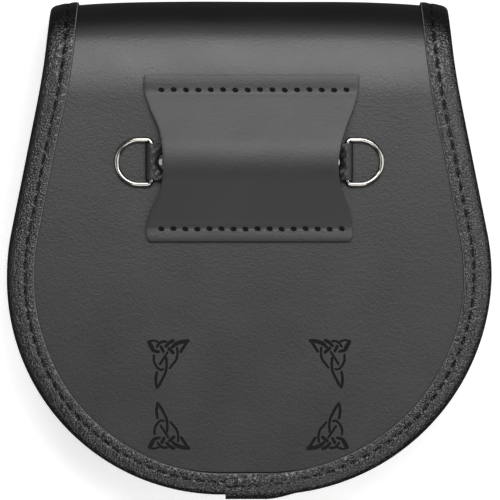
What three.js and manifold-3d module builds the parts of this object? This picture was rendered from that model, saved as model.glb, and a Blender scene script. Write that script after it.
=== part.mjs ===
// A leather sporran pouch lying on its flap, with its back upwards.
// Units are millimetres, +Z is up, +Y runs to the rolled top edge, +X to the right seen from above.
// The origin lies on the ground under the middle of the outline.
// Back panel and flap are one piece of leather, described flat and then rolled over the top:
// x is across it, v runs up the back, over the roll and down the flap, h is the height above
// its outer face.

import * as THREE from "three";
import { mergeVertices } from "three/addons/utils/BufferGeometryUtils.js";
import Module from "manifold-3d";

const wasm = await Module();
wasm.setup();

// Leather thicknesses and the clearance between neighbouring pieces
const PANEL_LEATHER = 3;
const FRONT_LEATHER = 2.5;
const GUSSET_LEATHER = 1.6;
const LOOP_LEATHER = 2.4;
const TAB_LEATHER = 1.2;
const TAPE = 1;
const GAP = 0.2;
const CLEARANCE = 0.3;

// Outline of the bound back: two lower arcs, leaning sides, and a neck that ends upright
const LOWER_RADIUS = 90.5;
const LOWER_CENTRE = { x: 9.7, y: -10.6 };
const SIDE_LEAN = Math.atan(0.2);
const NECK_START = 61;

// The hand-cut back drifts a little to the left below its widest line
const DRIFT = { below: LOWER_CENTRE.y, slope: 0.016 };

// Side view: flat back, a slow bend, then the roll over the top, mirrored down to the flap
const BACK_FACE = 45;
const FLAP_FACE = TAPE + GAP;
const ROLL_TOP = 102;
const SLOW_RADIUS = 110;
const SLOW_TURN = THREE.MathUtils.degToRad(12);
const HALF_DEPTH = (BACK_FACE - FLAP_FACE) / 2;
const slowDrop = SLOW_RADIUS * (1 - Math.cos(SLOW_TURN));
const ROLL_RADIUS = (HALF_DEPTH - slowDrop) / Math.cos(SLOW_TURN);
const FLAT_END =
  ROLL_TOP - SLOW_RADIUS * Math.sin(SLOW_TURN) - ROLL_RADIUS * (1 - Math.sin(SLOW_TURN));
const SLOW_END = FLAT_END + SLOW_RADIUS * SLOW_TURN;
const APEX = SLOW_END + ROLL_RADIUS * (Math.PI / 2 - SLOW_TURN);

// The flap's lower edge, and the mouth where the front panel and the gusset end
const FLAP_CORNER = 62;
const FLAP_END = -48;
const MOUTH = 58;

// Binding tape folded over the edges, and its lapped end at the bottom
const TAPE_WIDTH = 11;
const TAPE_ROUND = 2.4;
const TAPE_INSIDE = 1.6;
const EDGE_INSET = TAPE_INSIDE + GAP;
const LAP_ROWS = [
  { x: -8.4, out: 1.9, leg: 8.7 },
  { x: 3, out: 1.9, leg: 9.2 },
  { x: LOWER_CENTRE.x, out: 1, leg: 9.9 },
  { x: 14, out: 0.4, leg: 10.5 },
];

// Front panel and gusset: both edges of the gusset turn outwards into the binding
const FRONT_SETBACK = 2;
const FRONT_FACE = FLAP_FACE + PANEL_LEATHER + GAP + TAPE + CLEARANCE + TAPE + GAP;
const WEB_INSET = 13;
const CREASE_INSET = 19;

// Belt loop: half widths left and right of the middle, by height up the back
const LOOP_ROWS = [
  { y: 3.6, left: 42.2, right: 42.3 },
  { y: 9, left: 42.6, right: 42.6 },
  { y: 16.4, left: 40.9, right: 41.5 },
  { y: 24.6, left: 37.1, right: 38.4 },
  { y: 32.9, left: 35.6, right: 36.9 },
  { y: 41.2, left: 35.9, right: 37.5 },
  { y: 49.4, left: 37.3, right: 39.7 },
  { y: 57.7, left: 40.9, right: 42.8 },
  { y: 66, left: 43.5, right: 45 },
  { y: 72.2, left: 43.5, right: 45.2 },
];
const LOOP_ARCH = { from: 9.5, to: 65.1, slope: THREE.MathUtils.degToRad(16), ridge: 28, fillet: 25 };

// Each ring is a D of round wire whose straight bar lies in a folded leather tab
const RING = { x: 40.4, y: 36.4, wire: 1.1, half: 9.2, arm: 5.2, corner: 1.9 };
const BAR_PLAY = 0.15;
const TAB = { width: 15, tail: 16, wrap: THREE.MathUtils.degToRad(145) };
const RIVET = { fromBar: 6.3, head: 3.7, dome: 1.5, shank: 1.2, cap: 3, capDepth: 0.8 };

// Hidden clasp between flap and front panel
const CLASP = { y: -20, radius: 8, waist: 5 };

const smoothLeather = new THREE.MeshStandardMaterial({ color: 0x2b2b2c, roughness: 0.5 });
const grainedLeather = new THREE.MeshStandardMaterial({ color: 0x242424, roughness: 0.4 });
const softLeather = new THREE.MeshStandardMaterial({ color: 0x1f1f1f, roughness: 0.6 });
const nickel = new THREE.MeshStandardMaterial({ color: 0xc9c9c9, roughness: 0.2, metalness: 1 });

// Corners of a strap's cross section, for closing its ends
const STRAP_CORNERS = [
  [-1, 1],
  [1, 1],
  [1, -1],
  [-1, -1],
].map(([x, y]) => new THREE.Vector2(x, y));

// Triangles for a flat outline, turning the same way as the outline itself
function fill(outline) {
  const sign = Math.sign(THREE.ShapeUtils.area(outline));
  return THREE.ShapeUtils.triangulateShape(outline, []).map(([a, b, c]) => {
    const turn = THREE.ShapeUtils.area([outline[a], outline[b], outline[c]]);
    return Math.sign(turn) === sign ? [a, b, c] : [a, c, b];
  });
}

// Volume inside an indexed surface, negative where its faces point inwards
function signedVolume(positions, triangles) {
  const corner = (i) => new THREE.Vector3().fromArray(positions, 3 * i);
  let total = 0;
  for (let t = 0; t < triangles.length; t += 3) {
    const [a, b, c] = triangles.slice(t, t + 3).map(corner);
    total += a.dot(b.cross(c)) / 6;
  }
  return total;
}

// A solid through rings of points. Without an outline the rings run round and meet;
// with one, both ends are closed by it.
function loft(rings, outline = null) {
  const size = rings[0].length;
  const positions = rings.flat().flatMap((p) => p.toArray());
  const triangles = [];
  const spans = outline ? rings.length - 1 : rings.length;
  for (let r = 0; r < spans; r++) {
    const here = r * size;
    const next = ((r + 1) % rings.length) * size;
    for (let i = 0; i < size; i++) {
      const j = (i + 1) % size;
      triangles.push(here + i, here + j, next + j, here + i, next + j, next + i);
    }
  }
  if (outline) {
    const last = spans * size;
    for (const [a, b, c] of fill(outline)) {
      triangles.push(a, c, b, last + a, last + b, last + c);
    }
  }
  if (signedVolume(positions, triangles) < 0) triangles.reverse();
  const geometry = new THREE.BufferGeometry();
  geometry.setAttribute("position", new THREE.Float32BufferAttribute(positions, 3));
  geometry.setIndex(triangles);
  geometry.computeVertexNormals();
  return geometry;
}

function toSolid(geometry) {
  const bare = new THREE.BufferGeometry();
  bare.setAttribute("position", geometry.getAttribute("position"));
  bare.setIndex(geometry.getIndex());
  const merged = mergeVertices(bare, 1e-4);
  return new wasm.Manifold(
    new wasm.Mesh({
      numProp: 3,
      vertProperties: merged.getAttribute("position").array,
      triVerts: new Uint32Array(merged.getIndex().array),
    }),
  );
}

function toGeometry(solid) {
  const mesh = solid.getMesh();
  const geometry = new THREE.BufferGeometry();
  geometry.setAttribute("position", new THREE.BufferAttribute(mesh.vertProperties, 3));
  geometry.setIndex(new THREE.BufferAttribute(mesh.triVerts, 1));
  geometry.computeVertexNormals();
  return geometry;
}

function addMesh(group, name, geometry, material) {
  const mesh = new THREE.Mesh(geometry, material);
  mesh.name = name;
  group.add(mesh);
}

// The flat pattern's point (x, v) at height h over its outer face, rolled into place
function bend(x, v, h) {
  const run = v <= APEX ? v : 2 * APEX - v;
  let turn = 0;
  let y = run;
  let drop = 0;
  if (run > SLOW_END) {
    turn = SLOW_TURN + (run - SLOW_END) / ROLL_RADIUS;
    y =
      FLAT_END +
      SLOW_RADIUS * Math.sin(SLOW_TURN) +
      ROLL_RADIUS * (Math.sin(turn) - Math.sin(SLOW_TURN));
    drop = slowDrop + ROLL_RADIUS * (Math.cos(SLOW_TURN) - Math.cos(turn));
  } else if (run > FLAT_END) {
    turn = (run - FLAT_END) / SLOW_RADIUS;
    y = FLAT_END + SLOW_RADIUS * Math.sin(turn);
    drop = SLOW_RADIUS * (1 - Math.cos(turn));
  }
  const side = v <= APEX ? 1 : -1;
  const z = BACK_FACE - HALF_DEPTH + side * (HALF_DEPTH - drop + h * Math.cos(turn));
  const drift = DRIFT.slope * Math.max(0, DRIFT.below - v);
  return new THREE.Vector3(x - drift, y + h * Math.sin(turn), z);
}

// Right half of the outline from the bottom of the back to the end of the flap. Each station
// has its outward direction and the thickness of leather that the tape folds round there.
function outlineStations() {
  const stations = [];
  const doubled = PANEL_LEATHER + GAP + GUSSET_LEATHER;
  const add = (x, run, angle, onFlap) => {
    const v = onFlap ? 2 * APEX - run : run;
    const share = THREE.MathUtils.clamp((v - MOUTH - 0.5) / (FLAT_END - MOUTH - 0.5), 0, 1);
    stations.push({
      x,
      v,
      nx: Math.cos(angle),
      nv: onFlap ? -Math.sin(angle) : Math.sin(angle),
      stack: THREE.MathUtils.lerp(doubled, PANEL_LEATHER, share),
    });
  };
  const arc = (centre, radius, from, to, steps, onFlap) => {
    for (let i = 0; i <= steps; i++) {
      const angle = THREE.MathUtils.lerp(from, to, i / steps);
      const x = centre.x + radius * Math.cos(angle);
      add(x, centre.y + radius * Math.sin(angle), angle, onFlap);
    }
  };

  const sideFoot = {
    x: LOWER_CENTRE.x + LOWER_RADIUS * Math.cos(SIDE_LEAN),
    y: LOWER_CENTRE.y + LOWER_RADIUS * Math.sin(SIDE_LEAN),
  };
  const sideX = (run) => sideFoot.x - Math.tan(SIDE_LEAN) * (run - sideFoot.y);
  const neckRadius = (APEX - NECK_START) / Math.sin(SIDE_LEAN);
  const neckX = (run) => {
    const angle = Math.asin((APEX - run) / neckRadius);
    return sideX(NECK_START) - neckRadius * (Math.cos(angle) - Math.cos(SIDE_LEAN));
  };
  const roll = [NECK_START, FLAT_END, (FLAT_END + SLOW_END) / 2];
  for (let i = 0; i <= 8; i++) roll.push(THREE.MathUtils.lerp(SLOW_END, APEX, i / 8));
  const addRoll = (run, onFlap) => {
    add(neckX(run), run, Math.asin((APEX - run) / neckRadius), onFlap);
  };

  arc(LOWER_CENTRE, LOWER_RADIUS, -Math.PI / 2, SIDE_LEAN, 15, false);
  for (const run of [MOUTH, MOUTH + 0.5]) add(sideX(run), run, SIDE_LEAN, false);
  for (const run of roll) addRoll(run, false);
  for (const run of roll.slice(0, -1).reverse()) addRoll(run, true);
  const flapCentre = { y: FLAP_END + FLAP_CORNER };
  flapCentre.x =
    sideX(flapCentre.y + FLAP_CORNER * Math.sin(SIDE_LEAN)) - FLAP_CORNER * Math.cos(SIDE_LEAN);
  arc(flapCentre, FLAP_CORNER, SIDE_LEAN, -Math.PI / 2, 11, true);
  return stations;
}

const stations = outlineStations();
const lowerStations = stations.filter((s) => s.v <= MOUTH);
const mirrored = (list) => [...list].reverse().map((s) => ({ ...s, x: -s.x, nx: -s.nx }));

// A station's point moved inwards by a across the leather, at height h
const inward = (s, a, h) => bend(s.x - a * s.nx, s.v - a * s.nv, h);

// A sheet of leather between the mirrored sides of the outline
function sheet(list, inset, top, bottom) {
  const rings = list.map((s) => {
    const x = s.x - inset * s.nx;
    const v = s.v - inset * s.nv;
    return [bend(-x, v, top), bend(x, v, top), bend(x, v, bottom), bend(-x, v, bottom)];
  });
  return loft(rings, STRAP_CORNERS);
}

// Tape folded round a stack of leather: a across, h above the stack's outer face
function tapeSection(stack) {
  const half = stack / 2 + GAP + TAPE;
  const middle = GAP + TAPE - half;
  const points = [new THREE.Vector2(TAPE_WIDTH, GAP), new THREE.Vector2(TAPE_WIDTH, GAP + TAPE)];
  for (const degrees of [90, 45, 0, -45, -90]) {
    const angle = THREE.MathUtils.degToRad(degrees);
    const across = TAPE_ROUND * (1 - Math.cos(angle));
    points.push(new THREE.Vector2(across, middle + half * Math.sin(angle)));
  }
  const under = middle - half;
  points.push(new THREE.Vector2(TAPE_WIDTH, under));
  points.push(new THREE.Vector2(TAPE_WIDTH, under + TAPE));
  points.push(new THREE.Vector2(TAPE_INSIDE, under + TAPE));
  points.push(new THREE.Vector2(TAPE_INSIDE, GAP));
  return points;
}

// The far end of the tape, lapped over its start at the bottom edge and easing into it
function lapSleeve(stack) {
  const inside = -CLEARANCE;
  const half = stack / 2 + GAP + TAPE;
  const middle = GAP + TAPE - half;
  const section = (row) => {
    const points = [];
    const shell = (grow, from, to) => {
      for (let i = 0; i <= 4; i++) {
        const angle = THREE.MathUtils.degToRad(THREE.MathUtils.lerp(from, to, i / 4));
        const across = TAPE_ROUND - (TAPE_ROUND + grow) * Math.cos(angle);
        const up = middle + (half + Math.min(grow, TAPE)) * Math.sin(angle);
        points.push(new THREE.Vector2(across, up));
      }
    };
    const tip = (grow, side) => new THREE.Vector2(row.leg, middle + side * (half + grow));
    points.push(tip(TAPE, 1));
    shell(row.out, 90, -90);
    points.push(tip(TAPE, -1), tip(inside, -1));
    shell(inside, -90, 90);
    points.push(tip(inside, 1));
    return points;
  };
  const rings = LAP_ROWS.map((row) => {
    const past = Math.max(0, row.x - LOWER_CENTRE.x);
    const angle = -Math.PI / 2 + past / LOWER_RADIUS;
    const s = {
      x: past ? LOWER_CENTRE.x + LOWER_RADIUS * Math.cos(angle) : row.x,
      v: LOWER_CENTRE.y + LOWER_RADIUS * Math.sin(angle),
      nx: Math.cos(angle),
      nv: Math.sin(angle),
    };
    return section(row).map((p) => inward(s, p.x, p.y));
  });
  return loft(rings, section(LAP_ROWS[0]));
}

function rivetShaft(side, radius) {
  const shaft = new THREE.CylinderGeometry(radius, radius, 2 * BACK_FACE, 16);
  shaft.rotateX(Math.PI / 2);
  return shaft.translate(side * (RING.x - RIVET.fromBar), RING.y, BACK_FACE);
}

function backFlapPanel() {
  let solid = toSolid(sheet(stations, EDGE_INSET, 0, -PANEL_LEATHER));
  for (const side of [-1, 1]) {
    solid = solid.subtract(toSolid(rivetShaft(side, RIVET.shank + CLEARANCE)));
  }
  return toGeometry(solid);
}

function edgeBinding() {
  const loop = [...stations, ...mirrored(stations)];
  const rings = loop.map((s) => tapeSection(s.stack).map((p) => inward(s, p.x, p.y)));
  return toGeometry(toSolid(loft(rings)).add(toSolid(lapSleeve(stations[0].stack))));
}

function frontPanel() {
  const outer = FRONT_FACE - BACK_FACE;
  return sheet(lowerStations, FRONT_SETBACK + EDGE_INSET, outer + FRONT_LEATHER, outer);
}

function frontBinding() {
  const section = tapeSection(FRONT_LEATHER + GAP + GUSSET_LEATHER);
  const rings = [...mirrored(lowerStations), ...lowerStations].map((s) =>
    section.map((p) => inward(s, FRONT_SETBACK + p.x, FRONT_FACE - BACK_FACE - p.y)),
  );
  return loft(rings, section);
}

// A strip on edge with a crease that lets the pouch close, turned outwards at both edges
function gusset() {
  const top = -PANEL_LEATHER - GAP;
  const bottom = FRONT_FACE + FRONT_LEATHER + GAP - BACK_FACE;
  const middle = (top + bottom) / 2;
  const section = [
    [EDGE_INSET, top],
    [WEB_INSET + GUSSET_LEATHER, top],
    [CREASE_INSET + GUSSET_LEATHER, middle],
    [WEB_INSET + GUSSET_LEATHER, bottom],
    [FRONT_SETBACK + EDGE_INSET, bottom],
    [FRONT_SETBACK + EDGE_INSET, bottom + GUSSET_LEATHER],
    [WEB_INSET, bottom + GUSSET_LEATHER],
    [CREASE_INSET, middle],
    [WEB_INSET, top - GUSSET_LEATHER],
    [EDGE_INSET, top - GUSSET_LEATHER],
  ].map(([a, h]) => new THREE.Vector2(a, h));
  const rings = [...mirrored(lowerStations), ...lowerStations].map((s) =>
    section.map((p) => inward(s, p.x, p.y)),
  );
  return loft(rings, section);
}

// Side view of the belt loop's underside, as y, h and slope: flat margins, fillets, straight
// flanks and a round ridge
function loopProfile() {
  const { from, to, slope, ridge, fillet } = LOOP_ARCH;
  const middle = (from + to) / 2;
  const foot = { y: from + fillet * Math.sin(slope), h: fillet * (1 - Math.cos(slope)) };
  const shoulder = middle - ridge * Math.sin(slope);
  const top = foot.h + (shoulder - foot.y) * Math.tan(slope) + ridge * (1 - Math.cos(slope));
  const rising = [{ y: LOOP_ROWS[0].y, h: 0, slope: 0 }];
  for (let i = 0; i <= 4; i++) {
    const angle = (slope * i) / 4;
    const y = from + fillet * Math.sin(angle);
    rising.push({ y, h: fillet * (1 - Math.cos(angle)), slope: angle });
  }
  for (let i = 0; i <= 5; i++) {
    const angle = slope * (1 - i / 5);
    const y = middle - ridge * Math.sin(angle);
    rising.push({ y, h: top - ridge * (1 - Math.cos(angle)), slope: angle });
  }
  const falling = rising
    .slice(0, -1)
    .reverse()
    .map((p) => ({ y: 2 * middle - p.y, h: p.h, slope: -p.slope }));
  falling[falling.length - 1].y = LOOP_ROWS.at(-1).y;
  return [...rising, ...falling];
}

function beltLoop() {
  const edge = (key) => new THREE.SplineCurve(LOOP_ROWS.map((r) => new THREE.Vector2(r.y, r[key])));
  const sampled = { left: edge("left").getPoints(90), right: edge("right").getPoints(90) };
  const width = (key, y) => {
    const points = sampled[key];
    const i = Math.max(1, points.findIndex((p) => p.x >= y - 1e-6));
    const [a, b] = [points[i - 1], points[i]];
    return THREE.MathUtils.mapLinear(y, a.x, b.x, a.y, b.y);
  };
  const rings = loopProfile().map((p) => {
    const top = { y: p.y - LOOP_LEATHER * Math.sin(p.slope), h: p.h + LOOP_LEATHER * Math.cos(p.slope) };
    const left = -width("left", p.y);
    const right = width("right", p.y);
    return [
      bend(left, top.y, GAP + top.h),
      bend(right, top.y, GAP + top.h),
      bend(right, p.y, GAP + p.h),
      bend(left, p.y, GAP + p.h),
    ];
  });
  return loft(rings, STRAP_CORNERS);
}

// The tab in side view: both plies lie together under the rivet and open round the ring's bar
const EYE = RING.wire + BAR_PLAY;
const FOLD = EYE + TAB_LEATHER;

function ringTab(side) {
  const plies = 2 * TAB_LEATHER;
  const shape = new THREE.Shape();
  shape.moveTo(-TAB.tail, 0);
  shape.lineTo(0, 0);
  shape.absarc(0, FOLD, FOLD, -Math.PI / 2, TAB.wrap, false);
  shape.lineTo(RIVET.head - RIVET.fromBar + GAP, plies);
  shape.lineTo(-TAB.tail, plies);
  shape.closePath();
  const eye = new THREE.Path();
  eye.absarc(0, FOLD, EYE, 0, 2 * Math.PI, true);
  shape.holes.push(eye);
  const strap = new THREE.ExtrudeGeometry(shape, {
    depth: TAB.width,
    bevelEnabled: false,
    curveSegments: 16,
  });
  strap.rotateX(Math.PI / 2).translate(0, TAB.width / 2, 0);
  if (side < 0) strap.rotateZ(Math.PI);
  strap.translate(side * RING.x, RING.y, BACK_FACE + GAP);
  strap.deleteAttribute("normal");
  strap.deleteAttribute("uv");
  const closed = toSolid(mergeVertices(strap, 1e-4));
  return toGeometry(closed.subtract(toSolid(rivetShaft(side, RIVET.shank + CLEARANCE))));
}

// A closed D of wire in its own plane, with the bar on the Y axis and the bow towards +X
function dRing() {
  const path = [];
  const arc = (x, y, radius, from, to, steps) => {
    for (let i = 0; i <= steps; i++) {
      const angle = THREE.MathUtils.degToRad(THREE.MathUtils.lerp(from, to, i / steps));
      const out = new THREE.Vector3(Math.cos(angle), Math.sin(angle), 0);
      path.push({ out, at: new THREE.Vector3(x, y, 0).addScaledVector(out, radius) });
    }
  };
  const shoulder = RING.half - RING.corner;
  arc(RING.corner, shoulder, RING.corner, 180, 90, 3);
  arc(RING.arm, 0, RING.half, 90, -90, 14);
  arc(RING.corner, -shoulder, RING.corner, -90, -180, 3);
  const up = new THREE.Vector3(0, 0, 1);
  const sides = 12;
  const rings = path.map(({ out, at }) =>
    Array.from({ length: sides }, (_, i) => {
      const angle = (2 * Math.PI * i) / sides;
      return at
        .clone()
        .addScaledVector(out, RING.wire * Math.cos(angle))
        .addScaledVector(up, RING.wire * Math.sin(angle));
    }),
  );
  return loft(rings);
}

// Dome head on the tab, shank through tab and back panel, flat cap inside the pouch
function rivet(side) {
  const seat = GAP + 2 * TAB_LEATHER + GAP;
  const inside = -PANEL_LEATHER - GAP;
  const profile = [
    [0, inside - RIVET.capDepth],
    [RIVET.cap, inside - RIVET.capDepth],
    [RIVET.cap, inside],
    [RIVET.shank, inside],
    [RIVET.shank, seat],
    [RIVET.head, seat],
    [RIVET.head * 0.87, seat + RIVET.dome * 0.5],
    [RIVET.head * 0.5, seat + RIVET.dome * 0.87],
    [0, seat + RIVET.dome],
  ].map(([r, h]) => new THREE.Vector2(r, h));
  const turned = new THREE.LatheGeometry(profile, 20);
  turned.rotateX(Math.PI / 2);
  turned.translate(side * (RING.x - RIVET.fromBar), RING.y, BACK_FACE);
  return turned;
}

function flapClasp() {
  const low = FLAP_FACE + PANEL_LEATHER + CLEARANCE;
  const high = FRONT_FACE - CLEARANCE;
  const rim = (high - low) / 3;
  const profile = [
    [0, low],
    [CLASP.radius, low],
    [CLASP.radius, low + rim],
    [CLASP.waist, low + rim],
    [CLASP.waist, high - rim],
    [CLASP.radius, high - rim],
    [CLASP.radius, high],
    [0, high],
  ].map(([r, h]) => new THREE.Vector2(r, h));
  return new THREE.LatheGeometry(profile, 24).rotateX(Math.PI / 2).translate(0, CLASP.y, 0);
}

const sporran = new THREE.Group();
addMesh(sporran, "back_flap_panel", backFlapPanel(), smoothLeather);
addMesh(sporran, "front_panel", frontPanel(), smoothLeather);
addMesh(sporran, "gusset", gusset(), softLeather);
addMesh(sporran, "edge_binding", edgeBinding(), grainedLeather);
addMesh(sporran, "front_binding", frontBinding(), grainedLeather);
addMesh(sporran, "belt_loop", beltLoop(), smoothLeather);
addMesh(sporran, "flap_clasp", flapClasp(), nickel);

// Each ring hangs on its bar and leans down until its bow all but lies on the back panel
const barHeight = GAP + FOLD;
const lean = Math.asin((barHeight - RING.wire - CLEARANCE) / (RING.arm + RING.half));
for (const [side, word] of [
  [-1, "left"],
  [1, "right"],
]) {
  addMesh(sporran, `ring_tab_${word}`, ringTab(side), softLeather);
  addMesh(sporran, `rivet_${word}`, rivet(side), nickel);
  const pivot = new THREE.Group();
  pivot.position.set(side * RING.x, RING.y, BACK_FACE + barHeight);
  pivot.rotation.set(0, lean, side < 0 ? Math.PI : 0, "ZYX");
  addMesh(pivot, `d_ring_${word}`, dRing(), nickel);
  sporran.add(pivot);
}

export default sporran;
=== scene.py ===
import math

import bpy
import numpy as np
from mathutils import Matrix, Vector


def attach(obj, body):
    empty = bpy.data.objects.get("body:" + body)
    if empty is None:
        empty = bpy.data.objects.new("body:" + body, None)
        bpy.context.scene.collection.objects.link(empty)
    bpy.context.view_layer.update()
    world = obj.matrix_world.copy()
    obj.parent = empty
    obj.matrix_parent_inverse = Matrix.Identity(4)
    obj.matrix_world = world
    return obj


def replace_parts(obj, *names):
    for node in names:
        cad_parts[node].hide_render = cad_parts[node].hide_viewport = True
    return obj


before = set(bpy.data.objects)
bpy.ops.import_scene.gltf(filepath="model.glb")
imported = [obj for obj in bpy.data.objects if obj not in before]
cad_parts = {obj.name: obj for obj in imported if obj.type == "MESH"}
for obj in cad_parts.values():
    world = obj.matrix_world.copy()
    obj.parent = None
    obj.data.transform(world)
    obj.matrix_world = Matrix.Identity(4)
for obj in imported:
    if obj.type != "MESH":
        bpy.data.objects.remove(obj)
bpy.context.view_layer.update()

# Back and flap
# One piece of 3 mm cowhide, dyed black, rolled and lightly glazed: the flat back, the roll over
# the top and the flap it lies on. It was cut flat, bent wet over a former and left to set.
# All sizes are millimetres, and MM turns them into metres where a piece is placed.
MM = 0.001
PANEL_LEATHER = 3
LOWER_RADIUS = 90.5
LOWER_X = 9.7
LOWER_V = -10.6
SIDE_LEAN = math.atan(0.2)
NECK_START = 61
DRIFT_SLOPE = 0.016
BACK_FACE = 45
FLAP_FACE = 1.2
ROLL_TOP = 102
SLOW_RADIUS = 110
SLOW_TURN = math.radians(12)
HALF_DEPTH = (BACK_FACE - FLAP_FACE) / 2
SLOW_DROP = SLOW_RADIUS * (1 - math.cos(SLOW_TURN))
ROLL_RADIUS = (HALF_DEPTH - SLOW_DROP) / math.cos(SLOW_TURN)
FLAT_END = ROLL_TOP - SLOW_RADIUS * math.sin(SLOW_TURN) - ROLL_RADIUS * (1 - math.sin(SLOW_TURN))
SLOW_END = FLAT_END + SLOW_RADIUS * SLOW_TURN
APEX = SLOW_END + ROLL_RADIUS * (math.pi / 2 - SLOW_TURN)
FLAP_CORNER = 62
FLAP_END = -48
MOUTH = 58
EDGE_INSET = 1.8
ROLL_CROWN = 1.1
CROWN_HALF_WIDTH = 67
RIPPLE = 0.05


def roll_turn(v):
    """How far the slow bend and the whole roll have turned at v up the flat pattern."""
    run = np.minimum(v, 2 * APEX - v)
    slow = np.clip(run - FLAT_END, 0, SLOW_END - FLAT_END) / SLOW_RADIUS
    return slow, slow + np.clip(run - SLOW_END, 0, None) / ROLL_RADIUS


def bend(x, v, h):
    """Points of the flat pattern, x across, v up the back and h over its face, rolled into place.
    The roll bulges a little in its middle and sinks towards its ends."""
    slow, turn = roll_turn(v)
    h = h + ROLL_CROWN * (1 - (x / CROWN_HALF_WIDTH) ** 4) * np.sin(turn) ** 2
    run = np.minimum(v, 2 * APEX - v)
    reach = SLOW_RADIUS * np.sin(slow) + ROLL_RADIUS * (np.sin(turn) - np.sin(slow))
    drop = SLOW_RADIUS * (1 - np.cos(slow)) + ROLL_RADIUS * (np.cos(slow) - np.cos(turn))
    side = np.where(v <= APEX, 1, -1)
    drift = DRIFT_SLOPE * np.maximum(0, LOWER_V - v)
    y = np.minimum(run, FLAT_END) + reach + h * np.sin(turn)
    z = BACK_FACE - HALF_DEPTH + side * (HALF_DEPTH - drop + h * np.cos(turn))
    return np.stack(np.broadcast_arrays(x - drift, y, z), axis=-1)


def outline():
    """The outline's right half, flat, from the bottom of the back to the bottom of the flap."""
    foot_x = LOWER_X + LOWER_RADIUS * math.cos(SIDE_LEAN)
    foot_v = LOWER_V + LOWER_RADIUS * math.sin(SIDE_LEAN)
    neck_radius = (APEX - NECK_START) / math.sin(SIDE_LEAN)
    flap_v = FLAP_END + FLAP_CORNER
    flap_foot = flap_v + FLAP_CORNER * math.sin(SIDE_LEAN)
    neck_side = foot_x - math.tan(SIDE_LEAN) * (NECK_START - foot_v)
    flap_side = foot_x - math.tan(SIDE_LEAN) * (flap_foot - foot_v)
    flap_x = flap_side - FLAP_CORNER * math.cos(SIDE_LEAN)
    arc = np.linspace(-math.pi / 2, SIDE_LEAN, 300)
    neck = np.linspace(NECK_START, APEX, 200)
    neck_face = np.arcsin((APEX - neck) / neck_radius)
    neck_x = neck_side - neck_radius * (np.cos(neck_face) - math.cos(SIDE_LEAN))
    back = [
        ([0], [LOWER_V - LOWER_RADIUS], [-math.pi / 2]),
        (LOWER_X + LOWER_RADIUS * np.cos(arc), LOWER_V + LOWER_RADIUS * np.sin(arc), arc),
        (neck_x, neck, neck_face),
    ]
    flap = [
        (neck_x[-2::-1], 2 * APEX - neck[-2::-1], -neck_face[-2::-1]),
        (
            flap_x + FLAP_CORNER * np.cos(arc[::-1]),
            2 * APEX - flap_v - FLAP_CORNER * np.sin(arc[::-1]),
            -arc[::-1],
        ),
        ([0], [2 * APEX - FLAP_END], [math.pi / 2]),
    ]
    x, v, facing = (np.concatenate([part[k] for part in back + flap]) for k in range(3))
    length = np.concatenate([[0], np.cumsum(np.hypot(np.diff(x), np.diff(v)))])
    return {"x": x, "v": v, "facing": facing, "length": length}


OUTLINE = outline()
HALF_OUTLINE = OUTLINE["length"][-1]


def along(distance):
    """x, v and outward direction at a distance along the outline, negative on the left side."""
    side = np.where(distance < 0, -1, 1)
    x, v, facing = (
        np.interp(abs(distance), OUTLINE["length"], OUTLINE[key]) for key in ("x", "v", "facing")
    )
    return side * x, v, side * np.cos(facing), np.sin(facing)


def from_edge(distance, a, h):
    """The point a in from the outline and h over the outer face, at a distance along it."""
    x, v, nx, nv = along(distance)
    return bend(x - a * nx, v - a * nv, h)


def pick_nothing():
    bpy.ops.object.select_all(action="DESELECT")


def pick(piece):
    """Selects one piece and nothing else."""
    pick_nothing()
    bpy.context.view_layer.objects.active = piece
    piece.select_set(True)


def lay(name, points):
    """A grid primitive whose corners are moved onto an array of points."""
    columns, rows = points.shape[0] - 1, points.shape[1] - 1
    pick_nothing()
    bpy.ops.mesh.primitive_grid_add(x_subdivisions=columns, y_subdivisions=rows, size=1)
    piece = bpy.context.object
    piece.name = piece.data.name = name
    start = np.empty(3 * len(piece.data.vertices), np.float32)
    piece.data.vertices.foreach_get("co", start)
    start = start.reshape(-1, 3)
    column = np.rint((start[:, 0] + 0.5) * columns).astype(int)
    row = np.rint((start[:, 1] + 0.5) * rows).astype(int)
    place = (points[column, row] * MM).astype(np.float32)
    piece.data.vertices.foreach_set("co", place.ravel())
    piece.data.update()
    return piece


def close_seams(piece, fill_ends=False):
    """Merges the edges of a laid tube that meet, fills its ends, and turns its faces outwards."""
    pick(piece)
    bpy.ops.object.mode_set(mode="EDIT")
    bpy.ops.mesh.select_all(action="SELECT")
    bpy.ops.mesh.remove_doubles(threshold=0.004 * MM)
    if fill_ends:
        bpy.ops.mesh.fill_holes(sides=0)
    bpy.ops.mesh.select_all(action="SELECT")
    bpy.ops.mesh.normals_make_consistent(inside=False)
    bpy.ops.object.mode_set(mode="OBJECT")


def finish_with(piece, kind, **settings):
    """Adds a modifier with its settings and applies it."""
    modifier = piece.modifiers.new(kind.lower(), kind)
    modifier.show_viewport = False
    for key, value in settings.items():
        setattr(modifier, key, value)
    pick(piece)
    bpy.ops.object.modifier_apply(modifier=modifier.name)


def smooth(piece, degrees=35):
    """Shades a piece smooth, apart from edges sharper than the angle."""
    pick(piece)
    bpy.ops.object.shade_smooth_by_angle(angle=math.radians(degrees))


def coat(piece, *finishes):
    """Gives a piece its materials, in the order of its slots."""
    for finish in finishes:
        piece.data.materials.append(finish)


def ripple(x, v):
    """The slight unevenness of a hide that was bent and pressed by hand."""
    broad = np.sin(x / 14 + v / 31 + 0.4) + np.sin(v / 19 - x / 37 + 1.3)
    return RIPPLE * (broad + 0.6 * np.sin(x / 8.3 - v / 11.7))


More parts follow.
